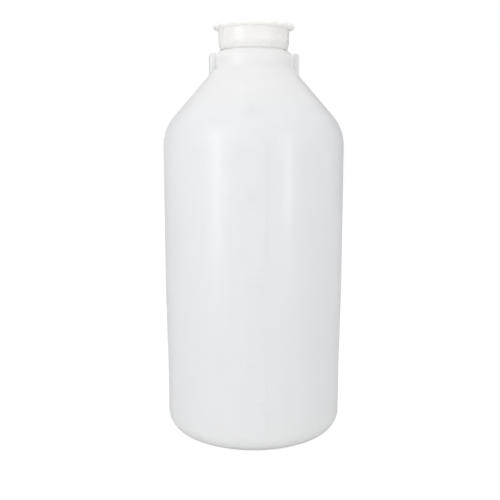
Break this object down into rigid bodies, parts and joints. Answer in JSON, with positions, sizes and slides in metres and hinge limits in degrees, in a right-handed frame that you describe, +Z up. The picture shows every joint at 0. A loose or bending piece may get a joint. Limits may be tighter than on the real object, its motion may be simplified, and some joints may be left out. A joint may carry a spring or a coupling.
{
  "type": "narrow-neck bottle",
  "caption": "Large round translucent plastic bottle with a sloping shoulder, a lugged collar, a raised litre scale and a lobed screw cap.",
  "frame": {"origin": "centre of the base on the surface that the bottle stands on", "axes": "+Z up along the axis of the bottle and its neck, the litre scale on the -Y side, the two lugs of the collar on +X and -X"},
  "size_m": [0.198, 0.1984, 0.4465],
  "materials": {
    "milky_polyethylene": "satin, translucent",
    "cap_plastic": "satin, nearly opaque white",
    "liner_foam": "matt"
  },
  "bodies": {
    "bottle": {"bottle": "milky_polyethylene"},
    "liner": {"sealing_disc": "liner_foam"},
    "cap": {"screw_cap": "cap_plastic"}
  },
  "joints": [
    {"name": "cap_lift", "type": "slide", "parent": "bottle", "child": "liner", "axis": [0, 0, 1], "range_m": [0, 0.0241]},
    {"name": "cap_turn", "type": "hinge", "parent": "liner", "child": "cap", "pos_m": [0, 0, 0.4206], "axis": [0, 0, 1], "range_deg": [0, 1440]}
  ],
  "couplings": [
    {"joint": "cap_lift", "follows": "cap_turn", "m_per_rad": 0.00095493}
  ]
}
